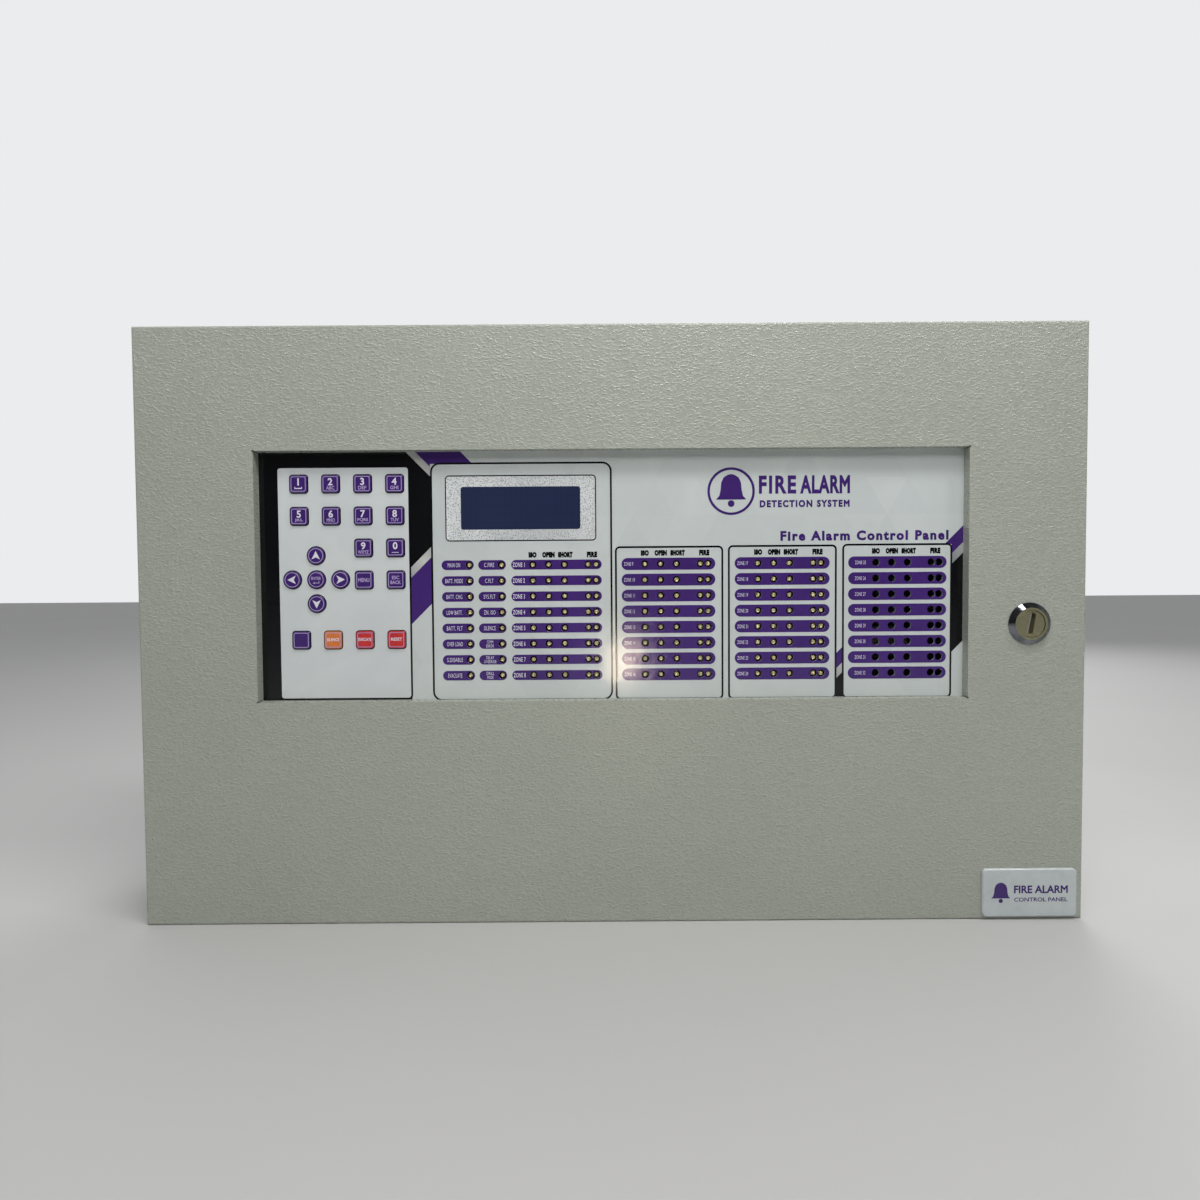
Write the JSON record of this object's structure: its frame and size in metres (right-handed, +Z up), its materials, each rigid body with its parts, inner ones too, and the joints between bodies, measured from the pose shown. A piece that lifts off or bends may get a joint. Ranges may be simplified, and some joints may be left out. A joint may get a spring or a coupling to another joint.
{
  "type": "fire alarm control panel",
  "caption": "Wall-mounted fire alarm control panel: hinged steel door with a display and key fascia, cam lock, electronics and standby batteries in a flat cabinet.",
  "frame": {"origin": "centre of the four wall fixing holes, on the wall plane", "axes": "X to the right seen from the front, the front faces -Y, +Z up"},
  "size_m": [0.6, 0.1232, 0.381],
  "materials": {
    "powder_coat": "semi-gloss light grey textured powder coat",
    "zinc": "bright zinc plate",
    "steel": "plain steel",
    "brass": "turned brass",
    "aluminium": "mill finish sheet",
    "rubber": "moulded black rubber",
    "circuit_board": "green solder mask",
    "black_plastic": "moulded black",
    "capacitor_sleeve": "shrink sleeve",
    "terminal_green": "moulded green",
    "cream_plastic": "moulded cream",
    "battery_case": "moulded dark grey",
    "wire_red": "wire insulation",
    "wire_green": "green and yellow wire insulation",
    "ribbon_grey": "flat cable insulation",
    "nylon": "natural nylon",
    "overlay_print": "printed film, glossy",
    "lcd_frame": "dark display and its black frame",
    "lamp_clear": "clear moulded lamp",
    "key_purple": "glossy moulded key",
    "key_orange": "glossy moulded key",
    "key_red": "glossy moulded key",
    "chrome": "polished chrome",
    "lock_nickel": "dull nickel",
    "badge_resin": "domed clear resin over white"
  },
  "bodies": {
    "cabinet": {"back_box": "powder_coat", "hinge_brackets": "powder_coat", "cable_grommets": "rubber", "chassis_plate": "zinc", "chassis_nuts": "zinc", "board_standoffs": "brass", "main_board": "circuit_board", "board_screws": "zinc", "relays": "black_plastic", "capacitors": "capacitor_sleeve", "terminal_blocks": "terminal_green", "power_supply": "aluminium", "mains_block": "cream_plastic", "earth_stud": "brass", "battery_left": "battery_case", "battery_right": "battery_case", "battery_bracket": "zinc", "internal_wiring": "wire_red", "door_ribbon": "ribbon_grey", "door_earth_lead": "wire_green"},
    "door": {"door_panel": "powder_coat", "door_hinge_plates": "zinc", "hinge_pins": "steel", "fascia_plate": "aluminium", "fascia_overlay": "overlay_print", "panel_nuts": "zinc", "board_spacers": "nylon", "display_board": "circuit_board", "zone_boards": "circuit_board", "lcd_module": "lcd_frame", "indicator_leds": "lamp_clear", "key_switches": "black_plastic", "panel_buzzer": "black_plastic", "lock_body": "chrome", "lock_nut": "zinc", "badge": "badge_resin"},
    "lock": {"lock_plug": "lock_nickel", "lock_cam": "zinc", "cam_screw": "zinc"},
    "key_1": {"key_1": "key_purple"},
    "key_2": {"key_2": "key_purple"},
    "key_3": {"key_3": "key_purple"},
    "key_4": {"key_4": "key_purple"},
    "key_5": {"key_5": "key_purple"},
    "key_6": {"key_6": "key_purple"},
    "key_7": {"key_7": "key_purple"},
    "key_8": {"key_8": "key_purple"},
    "key_9": {"key_9": "key_purple"},
    "key_0": {"key_0": "key_purple"},
    "key_menu": {"key_menu": "key_purple"},
    "key_back": {"key_back": "key_purple"},
    "key_spare": {"key_spare": "key_purple"},
    "key_silence": {"key_silence": "key_orange"},
    "key_evacuate": {"key_evacuate": "key_red"},
    "key_reset": {"key_reset": "key_red"},
    "key_up": {"key_up": "key_purple"},
    "key_down": {"key_down": "key_purple"},
    "key_left": {"key_left": "key_purple"},
    "key_right": {"key_right": "key_purple"},
    "key_enter": {"key_enter": "key_purple"}
  },
  "joints": [
    {"name": "door_swing", "type": "hinge", "parent": "cabinet", "child": "door", "pos_m": [-0.296, -0.11, 0], "axis": [0, 0, -1], "range_deg": [0, 110], "deforming": ["door_ribbon", "door_earth_lead"]},
    {"name": "lock_turn", "type": "hinge", "parent": "door", "child": "lock", "pos_m": [0.264, -0.11, 0], "axis": [0, -1, 0], "range_deg": [0, 90]},
    {"name": "key_1_press", "type": "slide", "parent": "door", "child": "key_1", "axis": [0, 1, 0], "range_m": [0, 0.0006], "stiffness_N_per_m": 800},
    {"name": "key_2_press", "type": "slide", "parent": "door", "child": "key_2", "axis": [0, 1, 0], "range_m": [0, 0.0006], "stiffness_N_per_m": 800},
    {"name": "key_3_press", "type": "slide", "parent": "door", "child": "key_3", "axis": [0, 1, 0], "range_m": [0, 0.0006], "stiffness_N_per_m": 800},
    {"name": "key_4_press", "type": "slide", "parent": "door", "child": "key_4", "axis": [0, 1, 0], "range_m": [0, 0.0006], "stiffness_N_per_m": 800},
    {"name": "key_5_press", "type": "slide", "parent": "door", "child": "key_5", "axis": [0, 1, 0], "range_m": [0, 0.0006], "stiffness_N_per_m": 800},
    {"name": "key_6_press", "type": "slide", "parent": "door", "child": "key_6", "axis": [0, 1, 0], "range_m": [0, 0.0006], "stiffness_N_per_m": 800},
    {"name": "key_7_press", "type": "slide", "parent": "door", "child": "key_7", "axis": [0, 1, 0], "range_m": [0, 0.0006], "stiffness_N_per_m": 800},
    {"name": "key_8_press", "type": "slide", "parent": "door", "child": "key_8", "axis": [0, 1, 0], "range_m": [0, 0.0006], "stiffness_N_per_m": 800},
    {"name": "key_9_press", "type": "slide", "parent": "door", "child": "key_9", "axis": [0, 1, 0], "range_m": [0, 0.0006], "stiffness_N_per_m": 800},
    {"name": "key_0_press", "type": "slide", "parent": "door", "child": "key_0", "axis": [0, 1, 0], "range_m": [0, 0.0006], "stiffness_N_per_m": 800},
    {"name": "key_menu_press", "type": "slide", "parent": "door", "child": "key_menu", "axis": [0, 1, 0], "range_m": [0, 0.0006], "stiffness_N_per_m": 800},
    {"name": "key_back_press", "type": "slide", "parent": "door", "child": "key_back", "axis": [0, 1, 0], "range_m": [0, 0.0006], "stiffness_N_per_m": 800},
    {"name": "key_spare_press", "type": "slide", "parent": "door", "child": "key_spare", "axis": [0, 1, 0], "range_m": [0, 0.0006], "stiffness_N_per_m": 800},
    {"name": "key_silence_press", "type": "slide", "parent": "door", "child": "key_silence", "axis": [0, 1, 0], "range_m": [0, 0.0006], "stiffness_N_per_m": 800},
    {"name": "key_evacuate_press", "type": "slide", "parent": "door", "child": "key_evacuate", "axis": [0, 1, 0], "range_m": [0, 0.0006], "stiffness_N_per_m": 800},
    {"name": "key_reset_press", "type": "slide", "parent": "door", "child": "key_reset", "axis": [0, 1, 0], "range_m": [0, 0.0006], "stiffness_N_per_m": 800},
    {"name": "key_up_press", "type": "slide", "parent": "door", "child": "key_up", "axis": [0, 1, 0], "range_m": [0, 0.0006], "stiffness_N_per_m": 800},
    {"name": "key_down_press", "type": "slide", "parent": "door", "child": "key_down", "axis": [0, 1, 0], "range_m": [0, 0.0006], "stiffness_N_per_m": 800},
    {"name": "key_left_press", "type": "slide", "parent": "door", "child": "key_left", "axis": [0, 1, 0], "range_m": [0, 0.0006], "stiffness_N_per_m": 800},
    {"name": "key_right_press", "type": "slide", "parent": "door", "child": "key_right", "axis": [0, 1, 0], "range_m": [0, 0.0006], "stiffness_N_per_m": 800},
    {"name": "key_enter_press", "type": "slide", "parent": "door", "child": "key_enter", "axis": [0, 1, 0], "range_m": [0, 0.0006], "stiffness_N_per_m": 800}
  ]
}
